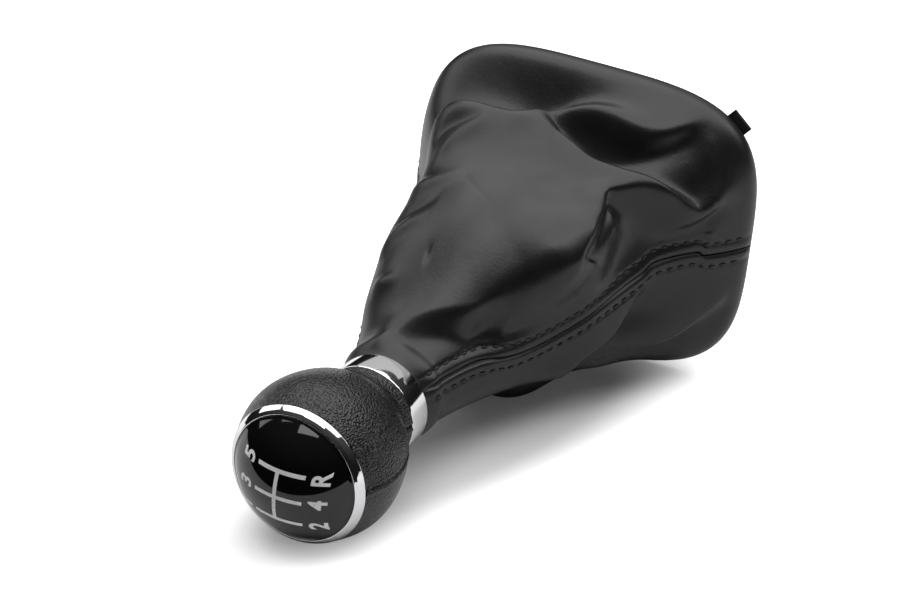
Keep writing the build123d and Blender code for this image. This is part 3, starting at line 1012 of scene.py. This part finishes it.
# %% [markdown]
# Each panel is a grid of points from seam to seam. It starts inside the collar, follows the slack surface,
# rolls over the rim and ends as the hem on the frame's back. A thickness is added behind it.

# %% Sew the two panels
RIM_ROUND = 3.2
HEM_WIDTH = 8.5
NECK_TUCK = 6.0
HEM_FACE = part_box("gaiter_panel_upper")[1].y / MM
PANEL_COLUMNS = 220
PANEL_ROWS = 150
ROLL_ROWS = 8
HEM_ROWS = 6
HEM_STEP = 0.8
# The rows near the rim are evened out: from this share of the panel to some rows past its end
SOFT_FROM = 0.95
SOFT_PAST = 3
SOFT_TIMES = 6
REAR_SEAM = [(0.0, 24.0), (0.14, 15.0), (0.27, 2.0), (0.41, -5.0), (0.52, -2.0), (0.64, 2.0), (0.74, 4.0),
             (0.81, 7.0), (0.87, 6.0), (0.92, 3.0), (1.0, 2.0)]
STITCH_ROW = 4.6
STITCH_PITCH = 4.2
STITCH_LENGTH = 3.3
THREAD_WIDTH = 0.9
SEAM_STEPS = 200
LENGTH_STEPS = 300
# How much closer the columns of a panel lie beside its seams
CROWDING = 0.5
# Seam: depth and width of its groove, height, place and width of the swell beside it
GROOVE_DEPTH = 1.0
GROOVE_WIDTH = 0.6
WELT_HEIGHT = 0.35
WELT_PLACE = 2.1
WELT_WIDTH = 1.2
# Pucker under the stitches: depth, width, and its mean and wave from stitch to stitch
PUCKER_DEPTH = 0.55
PUCKER_WIDTH = 0.8
PUCKER_MEAN = 0.65
PUCKER_WAVE = 0.35


def rear_seam(along):
    """Turn of the rear seam, which wanders with the slack leather."""
    line = smooth_curve(REAR_SEAM, SEAM_STEPS)
    return np.interp(along, line[:, 0], line[:, 1])


def front_seam(along):
    """Turn of the front seam."""
    return np.full_like(along, 180.0)


def rear_seam_again(along):
    """Turn of the rear seam, counted on past the front seam."""
    return 360 + rear_seam(along)


def panel_grid(first, last, rows, columns):
    """Places along and turns of a panel's grid, its columns closer together beside the two seams."""
    along = np.linspace(0, 1, rows)
    share = np.linspace(0, 1, columns)
    share = share - CROWDING * np.sin(2 * np.pi * share) / (2 * np.pi)
    start = first(along)[:, None]
    turn = start + (last(along)[:, None] - start) * share
    return np.repeat(along[:, None], columns, axis=1), turn


def seam_length(along):
    """Length along the rear seam from the collar, in millimetres."""
    steps = np.linspace(0, 1, LENGTH_STEPS)
    turn = rear_seam(steps)
    line = gaiter_place(turn, steps, slack_reach(turn, steps))
    return np.interp(along, steps, lengths_along(line))


def seam_dip(turn, along, reach):
    """How far the leather swells beside a panel's seams, less its dip into them and under the stitches."""
    off = np.radians(np.minimum(turn - turn[:, :1], turn[:, -1:] - turn)) * reach
    groove = GROOVE_DEPTH * np.exp(-(off / GROOVE_WIDTH) ** 2)
    welt = WELT_HEIGHT * np.exp(-((off - WELT_PLACE) / WELT_WIDTH) ** 2)
    pull = PUCKER_MEAN - PUCKER_WAVE * np.cos(2 * np.pi * seam_length(along) / STITCH_PITCH)
    pucker = PUCKER_DEPTH * pull * np.exp(-((off - STITCH_ROW) / PUCKER_WIDTH) ** 2)
    return welt - groove - pucker


def soften_rows(rows, first, last):
    """Rows evened out along the panel between two of them, so that the rim has no ridge."""
    for _ in range(SOFT_TIMES):
        rows[first:last] = (rows[first - 1:last - 1] + 2 * rows[first:last] + rows[first + 1:last + 1]) / 4
    return rows


def panel_points(first, last):
    """Rows of outer points of one panel, from the neck's tuck to the hem."""
    along, turn = panel_grid(first, last, PANEL_ROWS, PANEL_COLUMNS)
    reach = slack_reach(turn, along)
    reach = reach + seam_dip(turn, along, reach) * ease(along / HELD_SHARE)
    body = gaiter_place(turn, along, reach)
    neck = np.repeat(body[:1], 2, axis=0)
    neck[:, :, 1] -= np.array([[NECK_TUCK], [NECK_TUCK / 2]])
    turns = turn[-1]
    rolled = []
    for bend in np.radians(np.linspace(0, 90, ROLL_ROWS)):
        inset = RIM_ROUND * (1 - math.cos(bend))
        row = gaiter_place(turns, np.ones_like(turns), rim_reach(turns, inset))
        row[:, 1] = HEM_FACE - RIM_ROUND * (1 - math.sin(bend))
        rolled.append(row)
    for inset in np.linspace(RIM_ROUND + HEM_STEP, HEM_WIDTH, HEM_ROWS):
        row = gaiter_place(turns, np.ones_like(turns), rim_reach(turns, inset))
        row[:, 1] = HEM_FACE
        rolled.append(row)
    rows = np.concatenate([neck, body, rolled])
    return soften_rows(rows, len(neck) + int(SOFT_FROM * PANEL_ROWS), len(neck) + PANEL_ROWS + SOFT_PAST)


PANELS = {
    "upper_panel": ("gaiter_panel_upper", rear_seam, front_seam),
    "lower_panel": ("gaiter_panel_lower", front_seam, rear_seam_again),
}
panels = {}
for name, (node, first, last) in PANELS.items():
    grid = panel_points(first, last)
    panel = mesh_piece(name, grid.reshape(-1, 3), grid_faces(grid.shape[0], grid.shape[1]))
    thick = panel.modifiers.new("leather", "SOLIDIFY")
    thick.thickness = LEATHER * MM
    thick.offset = -1.0
    panel.data.materials.append(leather)
    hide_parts(node)
    panels[name] = panel
print("panels:", {name: len(panel.data.vertices) for name, panel in panels.items()})

# %% [markdown]
# ## Stitches
# A lockstitch shows as a row of short, plump dashes that sink into the leather at both ends. Each seam
# has one row on either side, spaced evenly along the row itself.

# %% Sew the rows of stitches
ROW_ENDS = (0.03, 0.985)
ROW_STEPS = 500
STITCH_SINK = 0.45
STITCH_RISE = 0.35
STITCH_BEND = 0.75
STITCH_RINGS = 7
STITCH_SIDES = 8
# Share of a stitch's girth that is left at its ends, squared
STITCH_TIP = 0.03


def row_line(seam, side):
    """Points of a row of stitches, with the leather's outward direction at each."""
    along = np.linspace(*ROW_ENDS, ROW_STEPS)
    reach = slack_reach(seam(along), along)
    turn = seam(along) + side * np.degrees(STITCH_ROW / reach)
    reach = slack_reach(turn, along) - STITCH_SINK
    line = gaiter_place(turn, along, reach)
    beside = gaiter_place(turn + 1, along, slack_reach(turn + 1, along) - STITCH_SINK)
    outward = np.cross(beside - line, np.gradient(line, axis=0))
    outward /= np.linalg.norm(outward, axis=1, keepdims=True)
    middle = gaiter_place(turn, along, np.zeros_like(along))
    outward *= np.sign(np.sum(outward * (line - middle), axis=1, keepdims=True))
    return line, outward


def stitch_points(middle, forward, outward):
    """One stitch: a thick dash that bends down into the leather at both ends."""
    across = np.cross(forward, outward)
    points = []
    for place in np.linspace(-1, 1, STITCH_RINGS):
        girth = THREAD_WIDTH / 2 * math.sqrt(max(1 - abs(place) ** 4, STITCH_TIP))
        lift = STITCH_RISE - STITCH_BEND * place * place
        core = middle + forward * place * STITCH_LENGTH / 2 + outward * lift
        for turn in np.linspace(0, 2 * math.pi, STITCH_SIDES, endpoint=False):
            points.append(core + girth * (math.cos(turn) * across + math.sin(turn) * outward))
    return points


def stitch_row(seam, side):
    """Points and faces of all the stitches of one row."""
    line, outward = row_line(seam, side)
    length = lengths_along(line)
    stitch_faces = grid_faces(STITCH_RINGS, STITCH_SIDES, closed=True)
    stitches = []
    for place in np.arange(STITCH_PITCH / 2, length[-1], STITCH_PITCH):
        k = int(np.searchsorted(length, place))
        forward = line[min(k + 2, len(line) - 1)] - line[k - 2]
        forward /= np.linalg.norm(forward)
        stitches.append((stitch_points(line[k], forward, outward[k]), stitch_faces))
    return joined(stitches)


seams = {"rear_stitches": rear_seam, "front_stitches": front_seam}
rows = {}
for name, seam in seams.items():
    rows[name] = mesh_piece(name, *joined(stitch_row(seam, side) for side in (-1, 1)))
    point_outward(rows[name])
    rows[name].data.materials.append(thread)
print("stitch faces:", {name: len(row.data.polygons) for name, row in rows.items()})

# %% [markdown]
# ## Bake the leather's placement
# The rim stays on the car's console while the collar swings with the lever, so the leather has to bend
# between the two. Here each panel and each row of stitches only has its placement baked into its points.

# %% Bake the placement of panels and stitches
for panel in panels.values():
    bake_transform(panel)
for row in rows.values():
    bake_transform(row)
